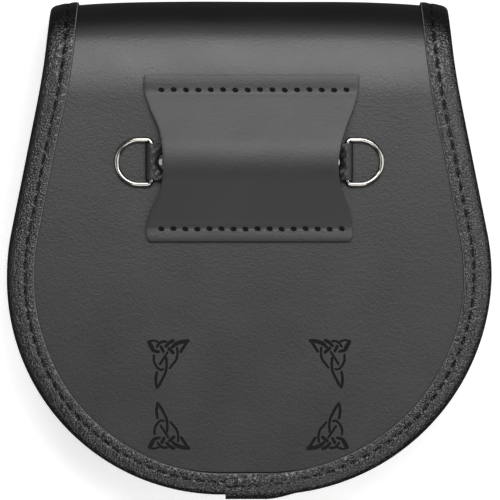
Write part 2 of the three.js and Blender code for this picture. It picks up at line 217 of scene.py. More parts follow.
def linear(code):
    """A colour given as an sRGB hex value, as the renderer's linear one."""
    parts = [int(code[k:k + 2], 16) / 255 for k in (0, 2, 4)]
    return [*(c / 12.92 if c <= 0.04045 else ((c + 0.055) / 1.055) ** 2.4 for c in parts), 1]


def new_material(name):
    """An empty node material with its shader, joined to the output."""
    material = bpy.data.materials.new(name)
    material.use_nodes = True
    return material, material.node_tree, material.node_tree.nodes["Principled BSDF"]


def add_node(tree, kind, inputs=None, stops=None, **settings):
    """A node with its settings. Its inputs are values or other nodes' sockets, by name or
    number."""
    made = tree.nodes.new("ShaderNode" + kind)
    for key, value in settings.items():
        setattr(made, key, value)
    for key, value in (inputs or {}).items():
        if isinstance(value, bpy.types.NodeSocket):
            tree.links.new(value, made.inputs[key])
        else:
            made.inputs[key].default_value = value
    for k, (position, colour) in enumerate(stops or []):
        elements = made.color_ramp.elements
        element = elements[k] if k < 2 else elements.new(position)
        element.position = position
        element.color = colour
    return made


def cowhide(name, roughness):
    """Black cowhide, glazed on the panels and worn duller on the strap: near black, semi-matt,
    with hair pores 0.6 mm apart and a shine that drifts over some 20 mm."""
    pore = 0.6
    cloud = 22
    patchy = 0.02
    material, tree, shader = new_material(name)
    place = add_node(tree, "TexCoord").outputs["Object"]
    clouds = add_node(
        tree,
        "TexNoise",
        {"Vector": place, "Scale": 1 / (cloud * MM), "Detail": 4, "Roughness": 0.55},
    )
    pores = add_node(
        tree, "TexVoronoi", {"Vector": place, "Scale": 1 / (pore * MM)}, feature="SMOOTH_F1"
    )
    fibre = add_node(
        tree, "TexNoise", {"Vector": place, "Scale": 1 / (1.3 * MM), "Detail": 5, "Roughness": 0.6}
    )
    height = add_node(
        tree,
        "Math",
        {0: pores.outputs["Distance"], 1: 0.5, 2: fibre.outputs["Fac"]},
        operation="MULTIPLY_ADD",
    )
    relief = add_node(
        tree, "Bump", {"Strength": 1.0, "Distance": 0.06 * MM, "Height": height.outputs[0]}
    )
    colour = add_node(
        tree,
        "ValToRGB",
        {"Fac": clouds.outputs["Fac"]},
        stops=[(0.3, linear("0f0f10")), (0.7, linear("151516"))],
    )
    drift = {"From Min": 0.3, "From Max": 0.7, "To Min": roughness - patchy}
    shine = add_node(
        tree, "MapRange", {"Value": clouds.outputs["Fac"], **drift, "To Max": roughness + patchy}
    )
    tree.links.new(colour.outputs["Color"], shader.inputs["Base Color"])
    tree.links.new(shine.outputs["Result"], shader.inputs["Roughness"])
    tree.links.new(relief.outputs["Normal"], shader.inputs["Normal"])
    shader.inputs["IOR"].default_value = 1.6
    return material


def bare_fibre(name, grain, dark, light, roughness, shine, relief=0):
    """Leather fibre with no finish over it, uneven in tone and height at the grain's size."""
    material, tree, shader = new_material(name)
    place = add_node(tree, "TexCoord").outputs["Object"]
    fibre = add_node(tree, "TexNoise", {"Vector": place, "Scale": 1 / (grain * MM), "Detail": 3})
    tone = {"Fac": fibre.outputs["Fac"]}
    colour = add_node(tree, "ValToRGB", tone, stops=[(0.35, linear(dark)), (0.7, linear(light))])
    tree.links.new(colour.outputs["Color"], shader.inputs["Base Color"])
    if relief:
        depth = {"Strength": relief, "Distance": 0.1 * relief * MM, "Height": fibre.outputs["Fac"]}
        bump = add_node(tree, "Bump", depth)
        tree.links.new(bump.outputs["Normal"], shader.inputs["Normal"])
    shader.inputs["Roughness"].default_value = roughness
    shader.inputs["Specular IOR Level"].default_value = shine
    return material


COWHIDE = cowhide("glazed_black_cowhide", 0.37)
# Leather burnt away by an engraving tool: a soot-black, dead matt floor, rough at 0.5 mm. The same
# black is painted shade where it lines the belt loop's stitch holes and the binding's foot.
BURNT_AND_SHADE_BLACK = bare_fibre("burnt_leather_and_painted_shade", 0.5, "0c0c0c", "181818", 0.85, 0.25, relief=0.5)

ROW_STEP = 2
COLUMNS = 88


def sheet_rows(first, last):
    """Distances along the outline, a row apart, that set the rows of a sheet."""
    return np.linspace(first, last, int((last - first) / ROW_STEP) + 1)


straight_bottom = LOWER_X
flap_corner_end = HALF_OUTLINE - OUTLINE["x"][-2]
x, v, nx, nv = along(sheet_rows(straight_bottom, flap_corner_end))
half_width = x - EDGE_INSET * nx
row_v = v - EDGE_INSET * nv
across = np.linspace(-1, 1, COLUMNS + 1)[:, None] * half_width[None, :]
row_v = np.broadcast_to(row_v, across.shape)
back_flap = lay("back_and_flap", bend(across, row_v, ripple(across, row_v)))
finish_with(back_flap, "SOLIDIFY", thickness=PANEL_LEATHER * MM, offset=-1, use_even_offset=True)

# Corner knots on the back
# Four interlaced knots, a traditional ornament, burnt 0.3 mm into the leather. Each stroke is a
# groove with a matt floor, and the strokes stop short of each other where a strand dives under.
# One knot is drawn in strokes of x, y and width, and the other three are its mirrors.
KNOT_DEPTH = 0.3
KNOT_STROKES = {
    "corner_lip": [(-5.1, 4.9, 1.2), (-8.0, 9.4, 1.2)],
    "corner_top": [(-8.1, 9.4, 1.6), (-5.2, 9.0, 1.7), (-3.2, 8.2, 1.7), (-1.6, 6.9, 1.3)],
    "top_left": [(-2.0, 9.5, 1.4), (-0.65, 8.8, 1.5), (1.0, 7.2, 1.2)],
    "top_right": [(1.0, 9.2, 1.1), (2.6, 9.1, 1.1), (3.8, 8.3, 1.1), (4.7, 7.0, 1.0)],
    "ear_top": [(4.25, 9.1, 0.9), (6.2, 9.6, 0.9), (8.1, 9.1, 1.0)],
    "ear_side": [(8.0, 9.0, 1.5), (6.9, 7.0, 1.8), (6.0, 5.5, 1.5), (3.9, 4.9, 1.2)],
    "cross_right": [(2.9, 7.0, 1.4), (2.0, 5.1, 1.3)],
    "cross_left": [(-0.3, 6.2, 1.5), (-2.1, 4.6, 1.4)],
    "long_left": [
        (-3.7, 6.5, 1.0), (-3.8, 3.6, 1.0), (-3.1, 1.3, 1.0), (-1.8, -0.3, 1.0), (-0.65, -1.8, 0.9),
    ],
    "long_right": [(0.3, 4.7, 1.0), (3.4, -0.2, 1.0)],
    "tail": [
        (0.8, 2.3, 1.1), (0.65, -0.3, 1.1), (1.0, -3.3, 1.1), (2.1, -5.7, 1.1), (3.9, -9.0, 1.1),
        (4.7, -10.1, 0.8),
    ],
    "bow": [
        (5.9, 3.4, 1.0), (5.9, 1.3, 1.0), (4.9, -1.0, 1.0), (3.1, -2.5, 1.0), (2.1, -2.3, 0.9),
    ],
    "tail_outside": [(4.7, -3.6, 1.1), (5.1, -6.0, 1.2), (4.9, -9.4, 1.0)],
}
KNOTS = [
    {"x": 33.4, "y": -46.8, "across": 1, "up": 1},
    {"x": -33.5, "y": -47.0, "across": -1, "up": 1},
    {"x": 32.4, "y": -72.9, "across": 1, "up": -0.96},
    {"x": -33.2, "y": -72.8, "across": -1, "up": -0.96},
]


def smooth_line(stops, rows, at):
    """Rows of values that are given at stops, read at other places on a smooth curve."""
    slope = np.gradient(rows, stops, axis=0)
    cell = np.clip(np.searchsorted(stops, at, side="right") - 1, 0, len(stops) - 2)
    span = np.diff(stops)[cell][:, None]
    t = (at - stops[cell])[:, None] / span
    return (
        (2 * t**3 - 3 * t**2 + 1) * rows[cell]
        + (t**3 - 2 * t**2 + t) * span * slope[cell]
        + (3 * t**2 - 2 * t**3) * rows[cell + 1]
        + (t**3 - t**2) * span * slope[cell + 1]
    )


def stroke_outline(stroke, steps=5):
    """The rim of a round-ended stroke through its points, as flat x and y."""
    knots = np.array(stroke, float)
    length = np.concatenate([[0], np.cumsum(np.hypot(*np.diff(knots[:, :2], axis=0).T))])
    fine = np.linspace(0, length[-1], steps * (len(stroke) - 1) + 1)
    if len(stroke) > 2:
        middle = smooth_line(length, knots, fine)
    else:
        middle = np.stack([np.interp(fine, length, column) for column in knots.T], axis=1)
    heading = np.gradient(middle[:, :2], axis=0)
    heading /= np.linalg.norm(heading, axis=1)[:, None]
    left = np.stack([-heading[:, 1], heading[:, 0]], axis=1)
    half = middle[:, 2:] / 2
    end = [(math.cos(angle), math.sin(angle)) for angle in np.radians(np.linspace(-60, 60, 5))]
    rim = [middle[-1, :2] + half[-1] * (c * heading[-1] + s * left[-1]) for c, s in end]
    rim.extend((middle[:, :2] + half * left)[::-1])
    rim.extend(middle[0, :2] - half[0] * (c * heading[0] + s * left[0]) for c, s in end)
    rim.extend(middle[:, :2] - half * left)
    return np.array(rim)


def knot_cutter():
    """One knot's strokes as closed prisms, from the groove's floor up through the face."""
    corners, faces = [], []
    for stroke in KNOT_STROKES.values():
        rim = stroke_outline(stroke)
        faces.append(list(range(len(corners), len(corners) + len(rim))))
        corners.extend((x * MM, y * MM, -KNOT_DEPTH * MM) for x, y in rim)
    mesh = bpy.data.meshes.new("knot_cutter")
    mesh.from_pydata(corners, [], faces)
    cutter = bpy.data.objects.new("knot_cutter", mesh)
    bpy.context.scene.collection.objects.link(cutter)
    pick(cutter)
    bpy.ops.object.mode_set(mode="EDIT")
    bpy.ops.mesh.select_all(action="SELECT")
    bpy.ops.mesh.extrude_region_move(TRANSFORM_OT_translate={"value": (0, 0, 4 * KNOT_DEPTH * MM)})
    bpy.ops.mesh.select_all(action="SELECT")
    bpy.ops.mesh.normals_make_consistent(inside=False)
    bpy.ops.object.mode_set(mode="OBJECT")
    return cutter


def copies_of(piece, places):
    """Copies of a modelled piece, each with its own mesh set by a matrix, joined into one."""
    pick_nothing()
    for place in places:
        copy = piece.copy()
        copy.data = piece.data.copy()
        copy.data.transform(place)
        if place.determinant() < 0:
            copy.data.flip_normals()
        bpy.context.scene.collection.objects.link(copy)
        copy.select_set(True)
        bpy.context.view_layer.objects.active = copy
    bpy.ops.object.join()
    bpy.data.objects.remove(piece)
    return bpy.context.object


def cut_away(piece, cutter, crossing=False):
    """Cuts one piece by another, whose material slots then line the cut, and deletes the cutter."""
    finish_with(
        piece,
        "BOOLEAN",
        operation="DIFFERENCE",
        solver="EXACT",
        use_self=crossing,
        material_mode="INDEX",
        object=cutter,
    )
    bpy.data.objects.remove(cutter)


knots = copies_of(
    knot_cutter(),
    [
        Matrix.Translation(Vector((knot["x"], knot["y"], BACK_FACE)) * MM)
        @ Matrix.Diagonal((knot["across"], knot["up"], 1, 1))
        for knot in KNOTS
    ],
)
for piece in (back_flap, knots):
    coat(piece, COWHIDE, BURNT_AND_SHADE_BLACK)
for face in knots.data.polygons:
    face.material_index = 1
cut_away(back_flap, knots, crossing=True)
smooth(back_flap, 30)
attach(back_flap, "pouch")
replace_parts(back_flap, "back_flap_panel")

# Gusset
# A 1.6 mm strip of softer leather that joins back and front panel. Both its edges turn outwards
# into the binding, and a crease down its middle lets the pouch close. It gathers a little there.
GAP = 0.2
GUSSET_LEATHER = 1.6
FRONT_LEATHER = 2.5
FRONT_SETBACK = 2
FRONT_FACE = 6.9
WEB_INSET = 13
CREASE_INSET = 19
GATHER = 0.35
GATHER_PITCH = 8.5


def rounded(corners, radius, steps=8):
    """A flat line through corners, each of which is rounded off from a distance before it."""
    corners = np.array(corners, float)
    points = [corners[:1]]
    for before, corner, after in zip(corners, corners[1:], corners[2:]):
        start = corner + radius * (before - corner) / np.linalg.norm(before - corner)
        stop = corner + radius * (after - corner) / np.linalg.norm(after - corner)
        t = np.linspace(0, 1, steps + 1)[:, None]
        points.append((1 - t) ** 2 * start + 2 * t * (1 - t) * corner + t**2 * stop)
    points.append(corners[-1:])
    return np.concatenate(points)


def soft_leather():
    """Chrome-tanned calf, dyed through: supple, a little duller than the panels, with fine
    creases about a millimetre apart."""
    material, tree, shader = new_material("soft_black_calf")
    place = add_node(tree, "TexCoord").outputs["Object"]
    warp = add_node(
        tree, "TexNoise", {"Vector": place, "Scale": 1 / (3 * MM), "Detail": 4, "Distortion": 0.6}
    )
    creases = add_node(
        tree, "TexVoronoi", {"Vector": place, "Scale": 1 / (1.1 * MM)}, feature="DISTANCE_TO_EDGE"
    )
    height = add_node(
        tree,
        "Math",
        {0: warp.outputs["Fac"], 1: 2.5, 2: creases.outputs["Distance"]},
        operation="MULTIPLY_ADD",
    )
    relief = add_node(
        tree, "Bump", {"Strength": 0.6, "Distance": 0.12 * MM, "Height": height.outputs[0]}
    )
    colour = add_node(
        tree,
        "ValToRGB",
        {"Fac": warp.outputs["Fac"]},
        stops=[(0.3, linear("161616")), (0.7, linear("1f1f20"))],
    )
    tree.links.new(colour.outputs["Color"], shader.inputs["Base Color"])
    tree.links.new(relief.outputs["Normal"], shader.inputs["Normal"])
    shader.inputs["Roughness"].default_value = 0.4
    return material


CALF = soft_leather()

mouth_distance = np.interp(MOUTH, OUTLINE["v"], OUTLINE["length"])
lower_edge = np.linspace(-mouth_distance, mouth_distance, 330)
near_back = -PANEL_LEATHER - GAP - GUSSET_LEATHER / 2
near_front = FRONT_FACE + FRONT_LEATHER + GAP + GUSSET_LEATHER / 2 - BACK_FACE
half_leather = GUSSET_LEATHER / 2
fold_line = rounded(
    [
        (EDGE_INSET, near_back),
        (WEB_INSET + half_leather, near_back),
        (CREASE_INSET + half_leather, (near_back + near_front) / 2),
        (WEB_INSET + half_leather, near_front),
        (FRONT_SETBACK + EDGE_INSET, near_front),
    ],
    radius=4,
)
depth_share = np.clip((fold_line[:, 0] - WEB_INSET) / (CREASE_INSET - WEB_INSET), 0, 1)[:, None]
gathers = GATHER * depth_share * np.sin(2 * math.pi * lower_edge[None, :] / GATHER_PITCH)
gusset = lay(
    "gusset_strip",
    from_edge(lower_edge[None, :], fold_line[:, :1] + gathers, fold_line[:, 1:]),
)
finish_with(gusset, "SOLIDIFY", thickness=GUSSET_LEATHER * MM, offset=0, use_even_offset=True)
close_seams(gusset)
smooth(gusset, 50)
coat(gusset, CALF)
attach(gusset, "pouch")
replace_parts(gusset, "gusset")

# Front panel
# The pouch's front, 2.5 mm of the same cowhide, cut to the outline a little smaller than the
# back. It is flat, its edges lie in the binding, and the mouth edge is left cut and burnished.
x, v, nx, nv = along(sheet_rows(straight_bottom, mouth_distance))
inset = FRONT_SETBACK + EDGE_INSET
across = np.linspace(1, -1, COLUMNS + 1)[:, None] * (x - inset * nx)[None, :]
row_v = np.broadcast_to(v - inset * nv, across.shape)
front = lay("front_sheet", bend(across, row_v, FRONT_FACE - BACK_FACE + ripple(across, row_v)))
finish_with(front, "SOLIDIFY", thickness=FRONT_LEATHER * MM, offset=-1)
finish_with(front, "BEVEL", width=0.4 * MM, segments=2, limit_method="ANGLE", angle_limit=1)
smooth(front, 30)
coat(front, COWHIDE)
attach(front, "pouch")
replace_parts(front, "front_panel")

# Binding round the edges
# A 25 mm strip of grained goatskin, 1 mm thick, folded over the edge of back and flap and sewn
# through in one row. The thread draws the leather down into a groove, deepest where it shows, and
# the foot of the cut edge is painted black where it meets the panel, widest round the bottom, as
# painted shade for the dark gap line between tape and panel.
TAPE = 1
TAPE_ROUND = 3.4
TAPE_INSIDE = 1.6
TAPE_TAPER = 0.4
FRONT_TAPE = 11
TAPE_SHOWS = {"facing": [-90, -45, 0, 20], "width": [8.8, 10.4, 11.6, 11]}
GROOVE_SHARE = {"width": [8.8, 11.6], "share": [0.4, 0.35]}
CUT_FALL = {"depth": 0.14, "reach": 0.25}
PILLOW = 0.14
VALLEY = {"depth": 0.16, "reach": 1.0}
PINCH = {"depth": 0.5, "reach": 0.4, "ease": 0.7}
# Width of the black strip at the tape's inner cut edge: painted shade, widest round the bottom.
SHADE_FOOT = {"plain": 0.15, "bottom": 0.6, "spread": 24}
STITCH_PITCH = 5.7
STITCH_SHOWS = 3.5
ROWS_A_STITCH = 8
LEG_STOPS = [0, 0.09, 0.17, 0.3, 0.5, 0.7, 0.84, 0.93, 1, 1.07, 1.16, 1.32, 1.6, 2]
FOLD_STOPS = range(75, -76, -15)


def tape_width(distance):
    """How much of the tape shows: less round the bottom, where it was drawn tighter."""
    facing = np.degrees(np.interp(abs(distance), OUTLINE["length"], OUTLINE["facing"]))
    by_hand = 0.15 * np.sin(distance / 23) + 0.1 * np.sin(distance / 9.1 + 2)
    return np.interp(facing, TAPE_SHOWS["facing"], TAPE_SHOWS["width"]) + by_hand


def groove_in(width):
    """How far the seam lies from the tape's cut edge."""
    return width * np.interp(width, GROOVE_SHARE["width"], GROOVE_SHARE["share"])


def stack_at(distance):
    """Leather inside the fold: panel and gusset together, or the panel alone past the mouth."""
    v = np.interp(abs(distance), OUTLINE["length"], OUTLINE["v"])
    doubled = PANEL_LEATHER + GAP + GUSSET_LEATHER
    return np.interp(v, [MOUTH + 0.5, FLAT_END], [doubled, PANEL_LEATHER])


def stitch_pull(distance, pitch):
    """1 where thread shows and pinches the tape, 0 between, along the tape."""
    off = abs((distance / pitch) % 1 - 0.5) * pitch
    t = np.clip((off - STITCH_SHOWS / 2 + PINCH["ease"] / 2) / PINCH["ease"], 0, 1)
    return 1 - t * t * (3 - 2 * t)


def tape_relief(t, groove, leg, pull):
    """How far the tape's face stands above a plain 1 mm tape, t in from its cut edge."""
    edge = -CUT_FALL["depth"] * np.exp(-t / CUT_FALL["reach"])
    pillow = PILLOW * np.sin(math.pi * np.clip(t / groove, 0, 1))
    valley = VALLEY["depth"] * np.exp(-(((t - groove) / VALLEY["reach"]) ** 2))
    pinch = PINCH["depth"] * pull * np.exp(-(((t - groove) / PINCH["reach"]) ** 2))
    rest = np.clip((t - groove) / (leg - groove), 0, 1)
    return edge + pillow - valley - pinch - TAPE_TAPER * rest**2


def tape_skin(width, stack, pull, groove=None, lift=0, loose=0):
    """The tape's outer face as rows of (a, h), from the cut edge over the fold to the other."""
    middle = -stack / 2
    half = stack / 2 + GAP + TAPE
    leg = width - TAPE_ROUND
    groove = groove_in(width) if groove is None else groove
    upper = []
    for stop in LEG_STOPS:
        t = min(stop, 1) * groove + max(stop - 1, 0) * (leg - groove)
        upper.append((width - t, half + lift + tape_relief(t, groove, leg, pull)))
    skin = [(a, middle + rise) for a, rise in upper]
    for degrees in FOLD_STOPS:
        angle = math.radians(degrees)
        a = TAPE_ROUND - (TAPE_ROUND + lift + loose) * math.cos(angle)
        skin.append((a, middle + (half + lift - TAPE_TAPER) * math.sin(angle)))
    skin.extend((a, middle - rise) for a, rise in reversed(upper))
    return skin


def place_ring(distance, ring, setback=0, face=None):
    """Rings of (a, h) set round the outline, or round the front panel when its face is given."""
    rows = []
    for a, h in ring:
        height = h if face is None else face - BACK_FACE - h
        rows.append(from_edge(distance, setback + a, height))
    return np.stack(rows)


def tape_ring(distance, width, stack, pull):
    """The tape's skin closed by its plain inner side."""
    under = -stack - GAP
    skin = tape_skin(width, stack, pull)
    at_bottom = np.exp(-((distance / SHADE_FOOT["spread"]) ** 4))
    shade_foot = (width + SHADE_FOOT["plain"] + (SHADE_FOOT["bottom"] - SHADE_FOOT["plain"]) * at_bottom, GAP)
    return [shade_foot, *skin, (width, under), (TAPE_INSIDE, under), (TAPE_INSIDE, GAP), shade_foot]


def goatskin():
    """Goatskin with a printed pebble grain of about 0.8 mm under a bright resin finish, so that
    each pebble's slope catches the light. Its colour is also painted darker in the furrows between
    the pebbles and lighter on their tops: painted shade."""
    pebble = 0.85
    material, tree, shader = new_material("pebbled_black_goatskin")
    place = add_node(tree, "TexCoord").outputs["Object"]
    wander = add_node(tree, "TexNoise", {"Vector": place, "Scale": 1 / (2.2 * MM), "Detail": 2})
    drifted = add_node(
        tree,
        "VectorMath",
        {0: wander.outputs["Color"], 1: (0.5 * MM,) * 3, 2: place},
        operation="MULTIPLY_ADD",
    )
    pebbles = add_node(
        tree,
        "TexVoronoi",
        {"Vector": drifted.outputs["Vector"], "Scale": 1 / (pebble * MM), "Smoothness": 0.35},
        feature="SMOOTH_F1",
    )
    fall = {"From Min": 0.1, "From Max": 0.75, "To Min": 1.0, "To Max": 0.0}
    dome = add_node(
        tree,
        "MapRange",
        {"Value": pebbles.outputs["Distance"], **fall},
        interpolation_type="SMOOTHSTEP",
    )
    crumple = add_node(
        tree, "TexNoise", {"Vector": place, "Scale": 1 / (0.9 * MM), "Detail": 3, "Roughness": 0.6}
    )
    height = add_node(
        tree,
        "Math",
        {0: crumple.outputs["Fac"], 1: 0.9, 2: dome.outputs["Result"]},
        operation="MULTIPLY_ADD",
    )
    relief = add_node(
        tree, "Bump", {"Strength": 1.0, "Distance": 0.16 * MM, "Height": height.outputs[0]}
    )
    # Base colour by pebble height: painted shade, darker in the furrows.
    colour = add_node(
        tree,
        "ValToRGB",
        {"Fac": dome.outputs["Result"]},
        stops=[(0.1, linear("050505")), (0.8, linear("101010"))],
    )
    tree.links.new(colour.outputs["Color"], shader.inputs["Base Color"])
    tree.links.new(relief.outputs["Normal"], shader.inputs["Normal"])
    shader.inputs["Roughness"].default_value = 0.22
    shader.inputs["IOR"].default_value = 1.62
    return material


GOATSKIN = goatskin()
# The tape's cut edge: skived fibre that took less dye and no finish, mid grey and matt.
RAW_EDGE = bare_fibre("raw_goatskin_edge", 0.7, "484848", "747474", 0.6, 0.5)


def dress_tape(piece, columns):
    """Gives a tape its skin and a raw look to both cut edges, and paints the lowest strip of its
    inner cut edge black as painted shade.
    """
    coat(piece, GOATSKIN, RAW_EDGE, BURNT_AND_SHADE_BLACK)
    spread = np.empty(2 * len(piece.data.loops), np.float32)
    piece.data.uv_layers.active.data.foreach_get("uv", spread)
    first = np.empty(len(piece.data.polygons), np.int32)
    piece.data.polygons.foreach_get("loop_start", first)
    count = np.diff(np.append(first, len(piece.data.loops)))
    column = np.add.reduceat(spread[::2], first) / count * columns
    last = len(LEG_STOPS) * 2 + len(FOLD_STOPS)
    cut = (column < 2) | ((column > last - 1) & (column < last + 1))
    # The lowest strip of the inner cut edge gets the soot-black material as painted shade.
    shade_foot = column < 1
    piece.data.polygons.foreach_set("material_index", cut.astype(np.int32) + shade_foot)
    smooth(piece, 60)
    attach(piece, "pouch")


stitch_count = round(2 * HALF_OUTLINE / STITCH_PITCH)
pitch = 2 * HALF_OUTLINE / stitch_count
rim = np.linspace(-HALF_OUTLINE, HALF_OUTLINE, stitch_count * ROWS_A_STITCH + 1)
ring = tape_ring(rim, tape_width(rim), stack_at(rim), stitch_pull(rim, pitch))
edge_tape = lay("edge_tape", place_ring(rim, ring))
close_seams(edge_tape)
dress_tape(edge_tape, len(ring) - 1)
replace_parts(edge_tape, "edge_binding")

front_rim = np.linspace(-mouth_distance, mouth_distance, 500)
front_stack = FRONT_LEATHER + GAP + GUSSET_LEATHER
ring = tape_ring(front_rim, FRONT_TAPE, front_stack, stitch_pull(front_rim, pitch))
front_tape = lay("front_tape", place_ring(front_rim, ring, FRONT_SETBACK, FRONT_FACE))
close_seams(front_tape, fill_ends=True)
dress_tape(front_tape, len(ring) - 1)
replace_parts(front_tape, "front_binding")

# Lap of the binding
# The tape starts and ends at the bottom of the back. Its last 30 mm lie over its start, cut off
# square and narrower on the left, and sink into the single tape on the right. Being a second
# layer, it stands out at the fold.
LAP = {
    "start": -8.4, "end": 24, "full_until": 8, "sewn_until": 18, "widens_until": 14,
    "leg_start": 6.3, "leg_end": 8.8, "loose": 0.85, "sunk": 0.1, "groove_share": 0.5,
}
lap_line = np.linspace(LAP["start"], LAP["end"], 60)
lap_fall = 1 + LAP["sunk"]
lap_lift = np.interp(lap_line, [LAP["full_until"], LAP["end"]], [1, -LAP["sunk"]])
risen = (lap_lift + LAP["sunk"]) / lap_fall
lap_lift = lap_fall * (3 * risen**2 - 2 * risen**3) - LAP["sunk"]
lap_widens = [LAP["start"], LAP["widens_until"]]
lap_width = np.interp(lap_line, lap_widens, [LAP["leg_start"], LAP["leg_end"]])
lap_pull = stitch_pull(lap_line, pitch)
lap_stack = stack_at(lap_line)
lap_groove = LAP["groove_share"] * lap_width
lap_loose = LAP["loose"] * np.clip(lap_lift, 0, 1)
over = tape_skin(lap_width, lap_stack, lap_pull, lap_groove, lap_lift, lap_loose)
below = tape_skin(lap_width, lap_stack, lap_pull, lap_groove, lap_lift - TAPE, lap_loose)
tape_lap = lay("tape_lap", place_ring(lap_line, [*over, *reversed(below), over[0]]))
close_seams(tape_lap, fill_ends=True)
coat(tape_lap, GOATSKIN)
smooth(tape_lap, 50)
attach(tape_lap, "pouch")
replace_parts(tape_lap, "edge_binding")

# Stitches of the binding
# Black waxed linen thread, 0.7 mm thick, in a row of running stitches on both faces.
# Each stitch is a short bow whose ends dive into the leather.
THREAD = 0.7
STITCH_SLANT = 0.14


def model_stitch(length, thickness, dive):
    """One stitch along X with its middle at the origin, its ends diving by so much."""
    pick_nothing()
    bpy.ops.mesh.primitive_uv_sphere_add(segments=6, ring_count=7, radius=thickness / 2 * MM)
    stitch = bpy.context.object
    bpy.ops.object.mode_set(mode="EDIT")
    bpy.ops.transform.rotate(value=math.pi / 2, orient_axis="Y", center_override=(0, 0, 0))
    bpy.ops.object.mode_set(mode="OBJECT")
    reach = (length - thickness) / 2 * MM
    for vertex in stitch.data.vertices:
        side = math.copysign(1, vertex.co.x)
        outer = abs(vertex.co.x) > 0.3 * thickness * MM
        vertex.co.x += side * reach * (1 if outer else 0.72)
        vertex.co.z -= dive * MM if outer else 0
    return stitch


def waxed_thread(name, dark, light, twist, sheen):
    """Waxed linen thread, two plies laid up with a twist, dull with a faint fuzz. The twist is
    drawn on the stitch's own map, so it turns round each thread. Its colour follows the twist's
    relief, lighter on the plies' crowns and darker between them: painted highlight and shade."""
    material, tree, shader = new_material(name)
    spread = add_node(tree, "UVMap").outputs["UV"]
    plies = add_node(
        tree,
        "TexWave",
        {"Vector": spread, "Scale": twist, "Distortion": 0.4, "Detail": 1},
        bands_direction="DIAGONAL",
    )
    relief = add_node(
        tree, "Bump", {"Strength": 0.7, "Distance": 0.1 * MM, "Height": plies.outputs["Fac"]}
    )
    # Colour by the twist's relief: painted highlight on the plies' crowns, painted shade between
    # them.
    colour = add_node(
        tree,
        "ValToRGB",
        {"Fac": plies.outputs["Fac"]},
        stops=[(0.2, linear(dark)), (0.8, linear(light))],
    )
    tree.links.new(colour.outputs["Color"], shader.inputs["Base Color"])
    tree.links.new(relief.outputs["Normal"], shader.inputs["Normal"])
    shader.inputs["Roughness"].default_value = 0.8
    shader.inputs["Specular IOR Level"].default_value = 0.3
    shader.inputs["Sheen Weight"].default_value = sheen
    return material


def stitch_place(start, stop, up, centre):
    """The matrix that lays a stitch from start towards stop, its back turned up."""
    way = Vector(stop - start).normalized()
    side = Vector(up).cross(way).normalized()
    turned = Matrix((way, side, way.cross(side))).transposed().to_4x4()
    return Matrix.Translation(Vector(centre) * MM) @ turned


def sew_tape(name, distance, width, groove, stack, face=None, setback=0, lift=0):
    """A row of stitches on each face of a tape, centred at each of the distances."""
    places = []
    seats = np.broadcast_arrays(distance, width, groove, stack, lift)
    for side in (1, -1):
        for s, w, g, deep, raised in zip(*seats):
            relief = tape_relief(g, g, w - TAPE_ROUND, 1) + raised
            rise = deep / 2 + GAP + TAPE + relief + THREAD / 5
            heights = [-deep / 2 + side * rise, -deep / 2 + side * (rise + 1)]
            if face is not None:
                heights = [face - BACK_FACE - h for h in heights]
            a = setback + w - g
            centre, above = (from_edge(np.array(s), a, h) for h in heights)
            before, after = (
                from_edge(np.array(s + d), a + STITCH_SLANT * d, heights[0]) for d in (-1, 1)
            )
            places.append(stitch_place(before, after, above - centre, centre))
    row = copies_of(model_stitch(STITCH_SHOWS + 0.4, THREAD, 0.4), places)
    row.name = row.data.name = name
    coat(row, BLACK_THREAD)
    smooth(row, 80)
    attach(row, "pouch")


BLACK_THREAD = waxed_thread("black_waxed_linen", "030303", "080808", 6, 0)

centres = -HALF_OUTLINE + pitch * (np.arange(stitch_count) + 0.5)
bare = centres[(centres < LAP["start"] - 1) | (centres > LAP["sewn_until"])]
sew_tape("edge_stitches", bare, tape_width(bare), groove_in(tape_width(bare)), stack_at(bare))
lapped = centres[(centres > LAP["start"] + 1) & (centres < LAP["sewn_until"])]
sew_tape(
    "lap_stitches",
    lapped,
    np.interp(lapped, lap_line, lap_width),
    np.interp(lapped, lap_line, lap_groove),
    stack_at(lapped),
    lift=np.interp(lapped, lap_line, lap_lift),
)
inner = pitch * (np.floor(mouth_distance / pitch) - 0.5)
front_centres = np.arange(-inner, inner + 1, pitch)
sew_tape(
    "front_stitches",
    front_centres,
    FRONT_TAPE,
    groove_in(FRONT_TAPE),
    front_stack,
    FRONT_FACE,
    FRONT_SETBACK,
)

# Belt loop
# A waisted strap of the same cowhide, 2.4 mm thick, with worn glaze and a black inked edge, which
# is widened and made near black also as painted shade for the dark gap along the loop's edge. It is
# sewn to the back along its two ends, where the seams draw it down in a valley, and arched between
# them so that a kilt belt passes under it.
LOOP_LEATHER = 2.4
LOOP_ROWS = [
    {"y": 3.6, "left": 42.2, "right": 42.3},
    {"y": 9, "left": 42.6, "right": 42.6},
    {"y": 16.4, "left": 40.9, "right": 41.5},
    {"y": 24.6, "left": 37.1, "right": 38.4},
    {"y": 32.9, "left": 35.6, "right": 36.9},
    {"y": 41.2, "left": 35.9, "right": 37.5},
    {"y": 49.4, "left": 37.3, "right": 39.7},
    {"y": 57.7, "left": 40.9, "right": 42.8},
    {"y": 66, "left": 43.5, "right": 45},
    {"y": 72.2, "left": 43.5, "right": 45.2},
]
LOOP_ARCH = {"from": 9.5, "to": 65.1, "slope": math.radians(12), "ridge": 38, "fillet": 8}
LOOP_CORNERS = {"bottom": 2, "top": 0.7}
LOOP_SEAMS = [
    {"y": 8.7, "from": -36.3, "to": 38.2},
    {"y": 66.1, "from": -36.3, "to": 40.1},
]
LOOP_HOLES = 16
HOLE = {"long": 2.6, "short": 1.95, "tilt": -14}
LOOP_RIM = {"fall": 0.14, "reach": 0.7, "bevel": 0.6}
LOOP_WIDTH = 84
LOOP_SAG = 0.18
LOOP_WAVES = (0.05, 0.04)
